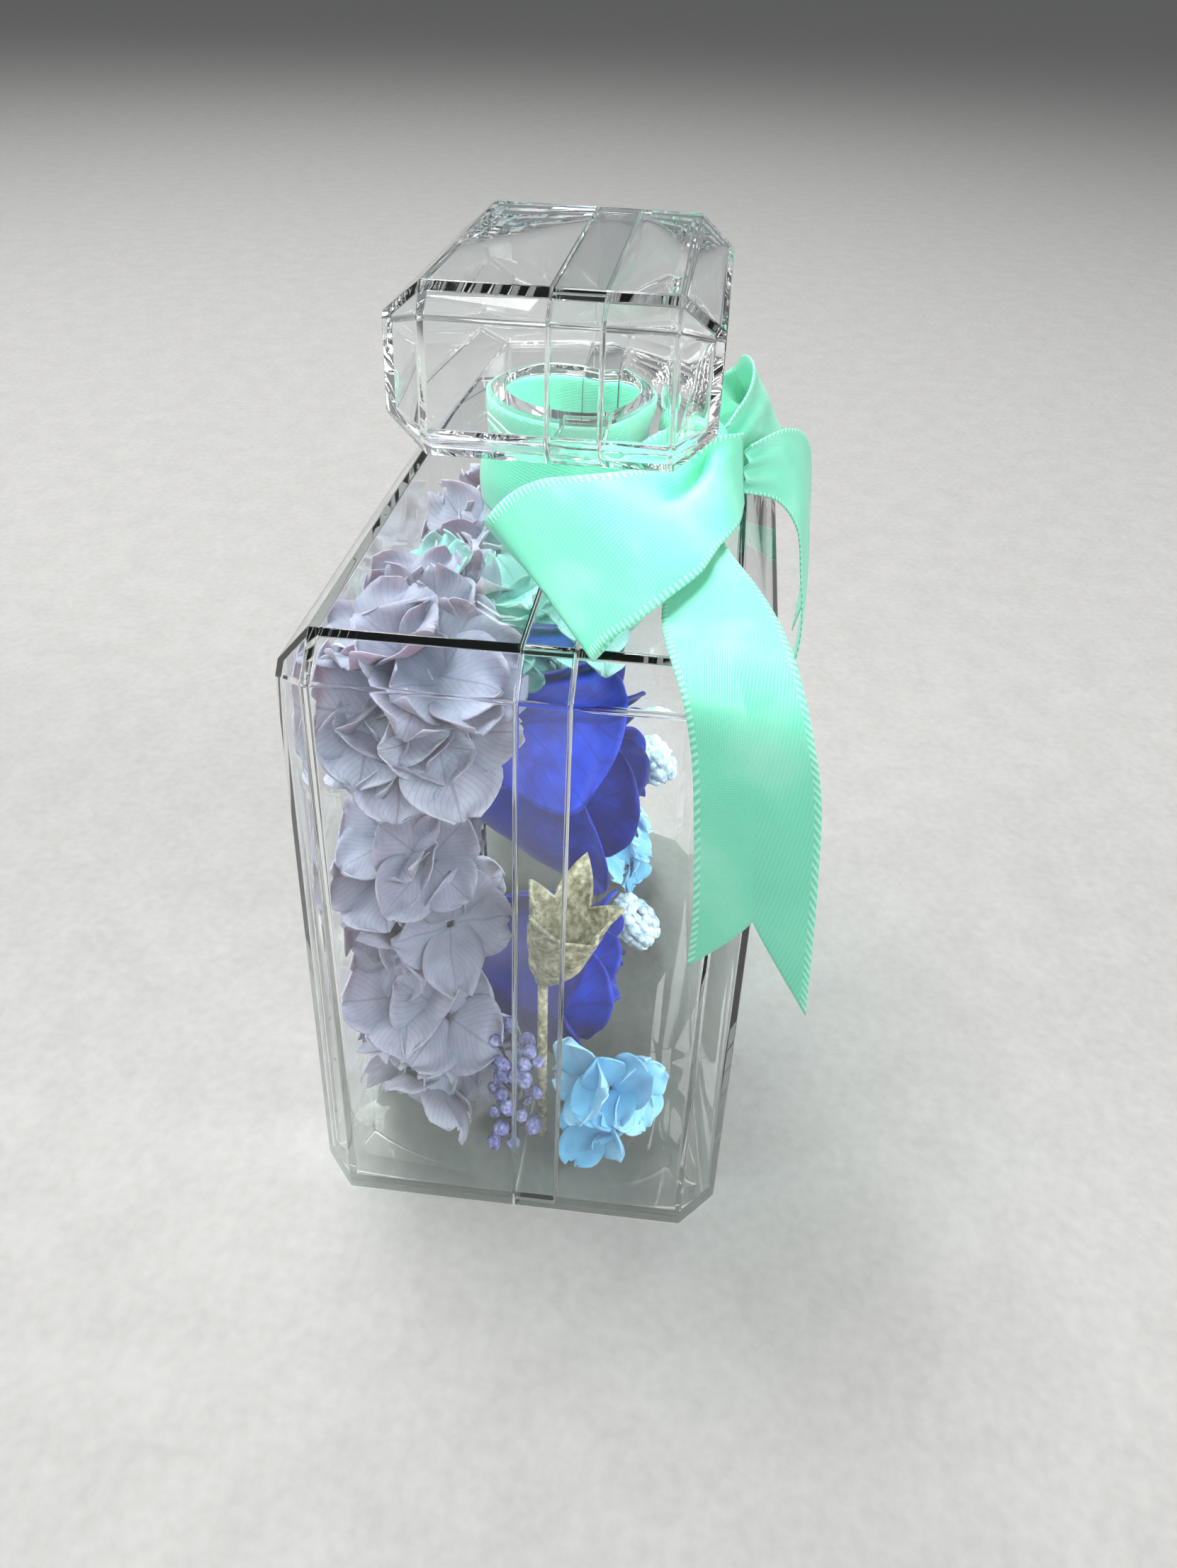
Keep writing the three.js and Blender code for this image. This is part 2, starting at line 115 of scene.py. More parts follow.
def ramp(tree: bpy.types.NodeTree, factor, stops: Sequence[tuple[float, str]]) -> bpy.types.NodeSocket:
    """Add a colour ramp.

    Args:
        tree: The node tree.
        factor: The socket that drives it.
        stops: Positions and hex colours.

    Returns:
        The ramp's colour.
    """
    node = add_node(tree, "ValToRGB", {"Fac": factor})
    elements = node.color_ramp.elements
    while len(elements) < len(stops):
        elements.new(1.0)
    for element, (place, colour) in zip(elements, stops):
        element.position = place
        element.color = linear(colour)
    return node.outputs["Color"]


def mix(tree: bpy.types.NodeTree, factor, first, second, blend: str = "MIX") -> bpy.types.NodeSocket:
    """Mix two colours.

    Args:
        tree: The node tree.
        factor: The second colour's share.
        first: The first colour.
        second: The second colour.
        blend: How they mix.

    Returns:
        The mixed colour.
    """
    node = add_node(tree, "Mix", {0: factor, 6: first, 7: second}, data_type="RGBA", blend_type=blend)
    return node.outputs[2]


def new_material(name: str) -> tuple[bpy.types.Material, bpy.types.NodeTree, bpy.types.Node]:
    """Start a material.

    Args:
        name: The finish in plain words.

    Returns:
        The material, its empty node tree and its output node.
    """
    material = bpy.data.materials.new(name)
    material.use_nodes = True
    tree = material.node_tree
    tree.nodes.clear()
    return material, tree, add_node(tree, "OutputMaterial")


def grid_sheet(bm: bmesh.types.BMesh, surface: Surface, across: int, along: int, tone: float = 0.0) -> None:
    """Add a sheet over surface(u, v) to a bmesh, with u and v from 0 to 1 kept as its UV map.

    Args:
        bm: The bmesh that takes the sheet.
        surface: Gives the place of each point.
        across: Faces along u.
        along: Faces along v.
        tone: A shade from 0 to 1 stored for the material.
    """
    uv = bm.loops.layers.uv.get("UVMap") or bm.loops.layers.uv.new("UVMap")
    shade = bm.verts.layers.float.get("tone") or bm.verts.layers.float.new("tone")
    made = bmesh.ops.create_grid(bm, x_segments=across, y_segments=along, size=0.5)["verts"]
    places = {vert: (vert.co.x + 0.5, vert.co.y + 0.5) for vert in made}
    faces = {face for vert in made for face in vert.link_faces}
    for face in faces:
        face.smooth = True
        for loop in face.loops:
            loop[uv].uv = places[loop.vert]
    for vert, (u, v) in places.items():
        vert[shade] = tone
        vert.co = surface(u, v)


def finish_piece(bm: bmesh.types.BMesh, name: str, material: bpy.types.Material, slot: str,
                 nodes: Sequence[str], thick: float = 0.0) -> bpy.types.Object:
    """Make a piece from a bmesh and put it in the frame.

    Args:
        bm: The finished bmesh, freed here.
        name: The piece's name.
        material: Its material.
        slot: The record's material slot; not used.
        nodes: The CAD nodes that it stands for.
        thick: Wall thickness for open sheets, in metres.

    Returns:
        The object.
    """
    mesh = bpy.data.meshes.new(name)
    bm.to_mesh(mesh)
    bm.free()
    mesh.materials.append(material)
    piece = bpy.data.objects.new(name, mesh)
    bpy.context.scene.collection.objects.link(piece)
    if thick:
        solidify = piece.modifiers.new("Thickness", "SOLIDIFY")
        solidify.thickness = thick
        solidify.offset = 0.0
    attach(piece, BODY)
    if nodes:
        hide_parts(*nodes)
    LOG.info("%s: %d faces", name, len(mesh.polygons))
    return piece


def box_middle(node: str) -> tuple[Vector, Vector]:
    """Measure a CAD node's box.

    Args:
        node: The node's name.

    Returns:
        Its middle and its full size, in metres.
    """
    low, high = (Vector(corner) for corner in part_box(node))
    return (low + high) / 2, high - low


def through(points: Sequence[Vector], share: float) -> Vector:
    """Return a point on the smooth curve through the given points.

    Args:
        points: The points that the curve passes through.
        share: From 0 at the first to 1 at the last.

    Returns:
        The point, by centripetal Catmull-Rom interpolation.
    """
    spans = len(points) - 1
    place = min(max(share, 0.0), 1.0) * spans
    index = min(int(place), spans - 1)
    part = place - index
    first, second = points[index], points[index + 1]
    before = points[index - 1] if index > 0 else first * 2 - second
    after = points[index + 2] if index + 2 <= spans else second * 2 - first
    gaps = [max(math.sqrt((b - a).length), 1e-5) for a, b in ((before, first), (first, second), (second, after))]
    slope_first = ((first - before) / gaps[0] - (second - before) / (gaps[0] + gaps[1])
                   + (second - first) / gaps[1]) * gaps[1]
    slope_second = ((second - first) / gaps[1] - (after - first) / (gaps[1] + gaps[2])
                    + (after - second) / gaps[2]) * gaps[1]
    square, cube = part * part, part ** 3
    return (first * (2 * cube - 3 * square + 1) + slope_first * (cube - 2 * square + part)
            + second * (3 * square - 2 * cube) + slope_second * (cube - square))


# ---------------------------------------------------------------- finishes
@dataclass(frozen=True)
class ClearAcrylic:
    """Injection-moulded clear styrene-acrylic: polished, faintly cool, lamps reach what it shuts in."""

    tint: str = "#FDFFFF"
    ior: float = 1.49
    roughness: float = 0.01

    def build(self) -> bpy.types.Material:
        """Return the material."""
        material, tree, output = new_material("clear moulded acrylic")
        place = add_node(tree, "TexCoord").outputs["Object"]
        # Moulding leaves a very slow ripple in the wall, about one swell every 25 mm.
        ripple = add_node(tree, "TexNoise", {"Vector": place, "Scale": 40.0, "Detail": 1.0})
        bump = add_node(tree, "Bump", {"Height": ripple.outputs["Fac"], "Strength": 0.05, "Distance": 0.0004})
        solid = add_node(tree, "BsdfPrincipled", {
            "Base Color": linear(self.tint), "Roughness": self.roughness, "IOR": self.ior,
            "Transmission Weight": 1.0, "Normal": bump.outputs["Normal"],
        })
        clear = add_node(tree, "BsdfTransparent", {"Color": linear("#F6FAF9")})
        path = add_node(tree, "LightPath").outputs["Is Shadow Ray"]
        shader = add_node(tree, "MixShader", {0: path, 1: solid.outputs[0], 2: clear.outputs[0]})
        tree.links.new(shader.outputs[0], output.inputs["Surface"])
        return material


@dataclass(frozen=True)
class MintSatin:
    """Polyester satin ribbon: bright floats on its face, a twill-like grain and a tight woven edge."""

    face: str = "#64DDB8"
    light: str = "#B4F3DF"
    shade: str = "#4ACDA6"
    grain_mm: float = 0.42
    edge_mm: float = 1.0
    pick_mm: float = 1.15

    def build(self) -> bpy.types.Material:
        """Return the material. Its UV map is in metres: u across the ribbon, v along it."""
        material, tree, output = new_material("mint polyester satin")
        parts = add_node(tree, "SeparateXYZ", {0: add_node(tree, "UVMap", uv_map="UVMap").outputs[0]})
        across, along = parts.outputs[0], parts.outputs[1]
        turns = 2 * math.pi / (self.grain_mm * MM)
        # The real threads are finer than 0.1 mm; the grain is drawn at 0.42 mm so that it shows.
        rows = math_node(tree, "SINE", math_node(tree, "MULTIPLY", math_node(
            tree, "ADD", across, math_node(tree, "MULTIPLY", along, 0.55)), turns))
        floats = math_node(tree, "SINE", math_node(tree, "MULTIPLY", along, turns * 0.8))
        grain = math_node(tree, "MULTIPLY", rows, floats)
        width = 18 * MM
        gap = math_node(tree, "MINIMUM", across, math_node(tree, "SUBTRACT", width, across))
        edge = math_node(tree, "LESS_THAN", gap, self.edge_mm * MM)
        picks = math_node(tree, "SINE", math_node(tree, "MULTIPLY", along, 2 * math.pi / (self.pick_mm * MM)))
        stitched = math_node(tree, "MULTIPLY", edge, math_node(tree, "GREATER_THAN", picks, 0.1))
        # Slow noise patches blend the shade, face and light colours over the ribbon: painted highlight and painted
        # shade.
        sheen_and_shade_patches = add_node(tree, "TexNoise", {
            "Vector": add_node(tree, "TexCoord").outputs["Object"], "Scale": 90.0, "Detail": 2.0})
        body = ramp(tree, sheen_and_shade_patches.outputs["Fac"], [(0.3, self.shade), (0.52, self.face), (0.75, self.light)])
        body = mix(tree, 0.55, body, linear(self.face))
        fine = mix(tree, math_node(tree, "MULTIPLY_ADD", grain, 0.2, 0.2), body, linear(self.light))
        colour = mix(tree, math_node(tree, "MULTIPLY", edge, 0.35), fine, linear(self.shade))
        colour = mix(tree, math_node(tree, "MULTIPLY", stitched, 0.85), colour, linear(self.light))
        height = math_node(tree, "MULTIPLY_ADD", stitched, 0.9, math_node(tree, "MULTIPLY", grain, 0.22))
        bump = add_node(tree, "Bump", {"Height": height, "Strength": 0.55, "Distance": 0.0002})
        surface = add_node(tree, "BsdfPrincipled", {
            "Base Color": colour, "Roughness": 0.34, "Normal": bump.outputs["Normal"],
            "Sheen Weight": 0.25, "Sheen Roughness": 0.4, "Anisotropic": 0.4,
            "Subsurface Weight": 0.05, "Subsurface Scale": 0.003, "Specular IOR Level": 0.65,
        })
        tree.links.new(surface.outputs[0], output.inputs["Surface"])
        return material


@dataclass(frozen=True)
class PreservedSepal:
    """A preserved and dyed sepal or petal: matt, thin, with fine forked veins and a paler rim."""

    name: str
    deep: str
    base: str
    light: str
    vein: str
    vein_depth: float = 0.4
    veins: float = 9.0
    roughness: float = 0.62
    sheen: float = 0.25
    glow: float = 0.15

    def build(self) -> bpy.types.Material:
        """Return the material. Its UV map runs 0 to 1 across the petal and from its base to its tip."""
        material, tree, output = new_material(self.name)
        parts = add_node(tree, "SeparateXYZ", {0: add_node(tree, "UVMap", uv_map="UVMap").outputs[0]})
        off_rib = math_node(tree, "ABSOLUTE", math_node(tree, "SUBTRACT", parts.outputs[0], 0.5))
        along = parts.outputs[1]
        place = add_node(tree, "TexCoord").outputs["Object"]
        cloud = add_node(tree, "TexNoise", {"Vector": place, "Scale": 260.0, "Detail": 4.0}).outputs["Fac"]
        blotch = add_node(tree, "TexNoise", {"Vector": place, "Scale": 70.0, "Detail": 2.0}).outputs["Fac"]
        bend = math_node(tree, "MULTIPLY_ADD", blotch, 0.25, math_node(
            tree, "MULTIPLY_ADD", off_rib, -1.25, along))
        wave = math_node(tree, "SINE", math_node(tree, "MULTIPLY", bend, self.veins * 2 * math.pi))
        side_vein = math_node(tree, "GREATER_THAN", wave, 0.9)
        mid_rib = math_node(tree, "LESS_THAN", off_rib, 0.018)
        vein = math_node(tree, "MAXIMUM", mid_rib, math_node(tree, "MULTIPLY", side_vein, 0.7))
        tone = add_node(tree, "Attribute", attribute_name="tone").outputs["Fac"]
        level = math_node(tree, "MULTIPLY_ADD", math_node(tree, "ADD", cloud, tone), 0.42,
                          math_node(tree, "MULTIPLY", along, 0.16))
        colour = ramp(tree, level, [(0.22, self.deep), (0.5, self.base), (0.8, self.light)])
        colour = mix(tree, math_node(tree, "MULTIPLY", vein, self.vein_depth), colour, linear(self.vein))
        height = math_node(tree, "SUBTRACT", math_node(tree, "MULTIPLY", cloud, 0.6), vein)
        bump = add_node(tree, "Bump", {"Height": height, "Strength": 0.35, "Distance": 0.00025})
        surface = add_node(tree, "BsdfPrincipled", {
            "Base Color": colour, "Roughness": self.roughness, "Normal": bump.outputs["Normal"],
            "Sheen Weight": self.sheen, "Sheen Roughness": 0.35,
            "Subsurface Weight": self.glow, "Subsurface Scale": 0.002, "Specular IOR Level": 0.3,
        })
        tree.links.new(surface.outputs[0], output.inputs["Surface"])
        return material


@dataclass(frozen=True)
class RoughPlant:
    """A dry plant surface, such as a seed pod, buds, moss or a stem: mottled and rough."""

    name: str
    dark: str
    base: str
    light: str
    grain_mm: float = 0.8
    bump: float = 0.6
    roughness: float = 0.85

    def build(self) -> bpy.types.Material:
        """Return the material."""
        material, tree, output = new_material(self.name)
        place = add_node(tree, "TexCoord").outputs["Object"]
        scale = 1 / (self.grain_mm * MM)
        grain = add_node(tree, "TexNoise", {"Vector": place, "Scale": scale, "Detail": 4.0}).outputs["Fac"]
        patch = add_node(tree, "TexNoise", {"Vector": place, "Scale": scale / 5, "Detail": 2.0}).outputs["Fac"]
        level = math_node(tree, "MULTIPLY_ADD", grain, 0.6, math_node(tree, "MULTIPLY", patch, 0.4))
        colour = ramp(tree, level, [(0.36, self.dark), (0.5, self.base), (0.64, self.light)])
        bump = add_node(tree, "Bump", {"Height": grain, "Strength": self.bump, "Distance": 0.0003})
        surface = add_node(tree, "BsdfPrincipled", {
            "Base Color": colour, "Roughness": self.roughness, "Normal": bump.outputs["Normal"],
            "Specular IOR Level": 0.3,
        })
        tree.links.new(surface.outputs[0], output.inputs["Surface"])
        return material


BLUE_PETAL = PreservedSepal("dyed rose petal royal blue", "#030B3A", "#0A2092", "#1E50F0", "#040E44",
                            vein_depth=0.3, veins=7.0, roughness=0.5, sheen=0.12, glow=0.0)
LAVENDER = PreservedSepal("preserved hydrangea lavender grey", "#5E6175", "#9093A7", "#BCBFCE", "#54586F")
TEAL = PreservedSepal("preserved hydrangea pale teal", "#4E8B8B", "#86BDB9", "#B9DEDA", "#4B8587")
PALE_BLUE = PreservedSepal("preserved hydrangea pale blue", "#4F97C8", "#7FC4E8", "#B4E0F4", "#5CA4D0",
                           vein_depth=0.2, glow=0.3)
SEED_POD = RoughPlant("dry seed pod grey gold", "#5E5A44", "#98937A", "#C9C5AE", grain_mm=0.9, bump=0.9)
VIOLET_BUD = RoughPlant("dyed bud violet", "#3C3E68", "#7073A8", "#A9ABD2", grain_mm=0.6)
DARK_STEM = RoughPlant("dyed stem dark", "#15202E", "#26384A", "#3E566C", grain_mm=0.7)
CALYX = RoughPlant("dyed rose calyx", "#1B2C44", "#2F4A66", "#58748C", grain_mm=0.8)
MOSS = RoughPlant("preserved moss pale blue", "#7E9DB6", "#B4CCDC", "#E3EEF4", grain_mm=1.2, bump=1.0)
HOT_GLUE = RoughPlant("hot-melt glue milky", "#CFCDBB", "#DEDCCB", "#ECEBDF", grain_mm=3.0, bump=0.2,
                      roughness=0.3)
PALE_FLOOR = RoughPlant("pale matt board", "#A3A2A0", "#A8A7A5", "#ADACAA", grain_mm=2.0, bump=0.02,
                        roughness=0.8)


# ---------------------------------------------------------------- bottle
@dataclass
class BottleCase:
    """The two moulded shells: body, round neck and hollow stopper in one, split down the middle."""

    edge_round_mm: float = 0.28
    merge_mm: float = 0.02

    def build(self) -> None:
        """Round the arrises of both shells and give them their acrylic."""
        acrylic = ClearAcrylic().build()
        for node in ("front_shell", "back_shell"):
            bm = bmesh.new()
            bm.from_mesh(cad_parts[node].data)
            bmesh.ops.remove_doubles(bm, verts=bm.verts, dist=self.merge_mm * MM)
            bmesh.ops.dissolve_limit(bm, angle_limit=math.radians(0.6), verts=bm.verts, edges=bm.edges)
            for face in bm.faces:
                face.smooth = True
            piece = finish_piece(bm, f"{node}_moulding", acrylic, "clear_acrylic", [node])
            piece.data.set_sharp_from_angle(angle=math.radians(15))
            bevel = piece.modifiers.new("Arris", "BEVEL")
            bevel.width = self.edge_round_mm * MM
            bevel.segments = 2
            bevel.limit_method = "ANGLE"
            bevel.angle_limit = math.radians(22)
            bevel.use_clamp_overlap = True


# ---------------------------------------------------------------- ribbon
@dataclass
class RibbonRun:
    """A stretch of ribbon between its two woven edges, from the knot outwards, in millimetres."""

    name: str
    upper: Sequence[tuple[float, float, float]]
    lower: Sequence[tuple[float, float, float]]
    flat_length: float
    pleat_start: float = 1.0
    pleat_end: float = 0.0
    billow: float = 0.8
    pucker: float = 0.0
    notch: float = 0.0
    held: str = "gathered"
    rests_on: Sequence[str] = field(default_factory=lambda: ["ribbon_knot_band"])
    width: float = 18.0
    along: int = 110
    across: int = 28

    def place(self, u: float, v: float) -> Vector:
        """Find a point of the strip before its folds.

        Args:
            u: From 0 at the upper woven edge to 1 at the lower.
            v: From 0 at the knot to 1 at the far end.

        Returns:
            The point, in metres.
        """
        curves = [[Vector(point) * MM for point in edge] for edge in (self.upper, self.lower)]
        cut = self.notch * (1 - abs(2 * u - 1)) / self.flat_length
        reach = v * (1 - cut)
        top, foot = (through(curve, reach) for curve in curves)
        return top.lerp(foot, u)

    def surface(self, u: float, v: float) -> Vector:
        """Find a point of the strip with its soft billow and its gathers.

        Args:
            u: From 0 at the upper woven edge to 1 at the lower.
            v: From 0 at the knot to 1 at the far end.

        Returns:
            The point, in metres.
        """
        step = 0.004
        point = self.place(u, v)
        along = self.place(u, min(v + step, 1)) - self.place(u, max(v - step, 0))
        across = self.place(min(u + 0.02, 1), v) - self.place(max(u - 0.02, 0), v)
        normal = across.cross(along).normalized()
        near = self.pleat_start * math.exp(-v * 9) + self.pleat_end * math.exp(-(1 - v) * 9)
        pleat = math.cos(u * 5.5 * math.pi) * 1.1 * near
        swell = math.sin(u * math.pi) * self.billow * math.sin(v * math.pi) ** 0.7
        flutter = 0.25 * math.sin(7.0 * v + 2.2 * u)
        tuck = self.pucker * math.exp(-((v - 0.15) / 0.06) ** 2 - ((u - 0.2 - 1.2 * (v - 0.15)) / 0.12) ** 2)
        return point + normal * (pleat + swell + flutter + tuck) * MM

    def build(self, satin: bpy.types.Material) -> bpy.types.Object:
        """Args:
            satin: The ribbon's material.

        Returns:
            The piece.
        """
        bm = bmesh.new()
        grid_sheet(bm, self.surface, self.across, self.along)
        uv = bm.loops.layers.uv["UVMap"]
        for face in bm.faces:
            for loop in face.loops:
                u, v = loop[uv].uv
                loop[uv].uv = (u * self.width * MM, v * self.flat_length * MM)
        piece = finish_piece(bm, self.name + "_cloth", satin, "mint_satin", [self.name], 0.26 * MM)
        list(self.rests_on)
        return piece


NEAR_LOOP = RibbonRun(
    "ribbon_near_loop",
    upper=[(0.6, -23.4, 103.6), (-5.2, -19.4, 104.6), (-7.6, -13.2, 101.6), (-14, -9, 102.6),
           (-26, -3.6, 105.8), (-34.5, 0, 108), (-40.2, 2.5, 108.2), (-42.6, 4.2, 106.6),
           (-41, 4.4, 104.8), (-32, 2.6, 102.8), (-20, -3.5, 101.2), (-9, -11.5, 99.4)],
    lower=[(-4.8, -24.6, 95.6), (-11.5, -23.9, 95.2), (-20, -21.4, 95.3), (-28.4, -19.4, 95.4),
           (-36, -15.8, 95.2), (-42.6, -12.2, 94.7), (-48.2, -9.5, 94.9), (-50.4, -8.6, 94),
           (-48.4, -9, 93.4), (-37, -12, 93.6), (-24, -13.6, 94.8), (-12, -14.8, 96.2)],
    flat_length=90, billow=0.5, pleat_start=0.0, pleat_end=0.5, pucker=3.6)
FAR_LOOP = RibbonRun(
    "ribbon_far_loop",
    upper=[(4.6, -20.4, 103.2), (13, -23.4, 105.6), (24, -24, 106.4), (34, -22.6, 104.8),
           (39.2, -21.4, 101.4), (38.6, -19.4, 100.4), (30, -16, 101.8), (18, -14.8, 102),
           (7, -15.2, 101.6)],
    lower=[(5, -22.8, 95.2), (12.5, -27, 94), (22, -30.6, 92.4), (31.5, -33.4, 88.4), (36.8, -34.8, 84.2),
           (37.6, -32.8, 85.6), (34.5, -30.6, 93.8), (20, -19.6, 94.2), (8, -17.6, 94.6)],
    flat_length=76, pleat_end=0.4, billow=0.6)
NEAR_TAIL = RibbonRun(
    "ribbon_near_tail",
    upper=[(-7.5, -20.4, 93.9), (-18, -22.8, 93.9), (-28, -26.2, 94.1), (-38, -28.8, 94.6),
           (-48, -30.8, 94.4), (-55.4, -32.8, 90.6), (-57.8, -34.6, 83.5), (-58.5, -35.6, 73.5),
           (-58.2, -36.4, 62), (-57.5, -37, 52)],
    lower=[(-7, -16.8, 93.2), (-18, -16, 93.2), (-28, -15.3, 93.2), (-38, -15.4, 93.5), (-47, -16.8, 94),
           (-53, -18.8, 91.6), (-55, -20.4, 85.5), (-55.8, -21.5, 75.5), (-55.8, -22.2, 65),
           (-55.4, -22.2, 56)],
    flat_length=84, pleat_start=0.3, billow=0.4, notch=11.0, held="hung")
FAR_TAIL = RibbonRun(
    "ribbon_far_tail",
    upper=[(4.8, -24.4, 100.6), (11, -29.6, 101.2), (17.5, -33.4, 97.6), (22, -35.4, 89), (24.2, -36.2, 76),
           (26.4, -35.6, 61.5)],
    lower=[(3.6, -24.0, 94.0), (5.6, -29.6, 92.2), (6.2, -33.0, 88.2), (6.6, -34.4, 80), (7.6, -35.4, 70),
           (9.2, -34.6, 58.5)],
    flat_length=50, pleat_start=0.5, billow=0.3, notch=9.0, held="hung")


@dataclass
class SatinBow:
    """One length of mint ribbon: wrapped round the neck, knotted in front, with two loops and two tails."""

    def wrap(self, satin: bpy.types.Material) -> None:
        """Make the turn round the neck, softly creased along its length.

        Args:
            satin: The ribbon's material.
        """
        middle, size = box_middle("ribbon_neck_wrap")
        radius = size.x / 2 - 0.2 * MM
        length = 2 * math.pi * radius

        def surface(u: float, v: float) -> Vector:
            angle = 2 * math.pi * v
            crease = 0.16 * math.sin(3 * math.pi * u + 1.5 * math.sin(angle)) + 0.08 * math.sin(5 * angle)
            out = radius + crease * MM
            return Vector((out * math.sin(angle), out * math.cos(angle), middle.z + (u - 0.5) * size.z))

        bm = bmesh.new()
        grid_sheet(bm, surface, 20, 120)
        uv = bm.loops.layers.uv["UVMap"]
        for face in bm.faces:
            for loop in face.loops:
                u, v = loop[uv].uv
                loop[uv].uv = ((0.15 + 0.7 * u) * 18 * MM, v * length)
        bmesh.ops.remove_doubles(bm, verts=bm.verts, dist=0.005 * MM)
        piece = finish_piece(bm, "ribbon_neck_wrap_cloth", satin, "mint_satin", ["ribbon_neck_wrap"], 0.26 * MM)

    def knot(self, satin: bpy.types.Material) -> None:
        """Make the knot: a short band of ribbon pulled round, pleated down its face.

        Args:
            satin: The ribbon's material.
        """
        middle, size = box_middle("ribbon_knot")

        def surface(u: float, v: float) -> Vector:
            angle = 2 * math.pi * v
            across = 2 * u - 1
            waist = 0.92 * math.sqrt(max(0.0, 1 - (0.97 * across) ** 6)) + 0.06
            pleat = 1 + 0.06 * math.cos(3 * math.pi * across + 0.4 * math.sin(2 * angle))
            return Vector((
                middle.x + across * size.x * 0.46 + 0.4 * MM * math.sin(angle),
                middle.y + size.y * 0.5 * waist * pleat * math.sin(angle),
                middle.z + size.z * 0.5 * waist * pleat * math.cos(angle),
            ))

        bm = bmesh.new()
        grid_sheet(bm, surface, 26, 64)
        length = math.pi * (size.y + size.z) / 2
        uv = bm.loops.layers.uv["UVMap"]
        for face in bm.faces:
            for loop in face.loops:
                u, v = loop[uv].uv
                loop[uv].uv = ((0.28 + 0.44 * u) * 18 * MM, v * length)
        bmesh.ops.remove_doubles(bm, verts=bm.verts, dist=0.005 * MM)
        piece = finish_piece(bm, "ribbon_knot_band", satin, "mint_satin", ["ribbon_knot"], 0.3 * MM)

    def build(self) -> None:
        """Make the whole bow."""
        satin = MintSatin().build()
        self.wrap(satin)
        self.knot(satin)
        for run in (NEAR_LOOP, FAR_LOOP, NEAR_TAIL, FAR_TAIL):
            run.build(satin)


# ---------------------------------------------------------------- roses
@dataclass
class PetalRing:
    """A ring of a rose's petals, as shares of the rose's radius and height."""

    name: str
    petals: int
    radius: float
    rise: float
    flare: float
    start: float


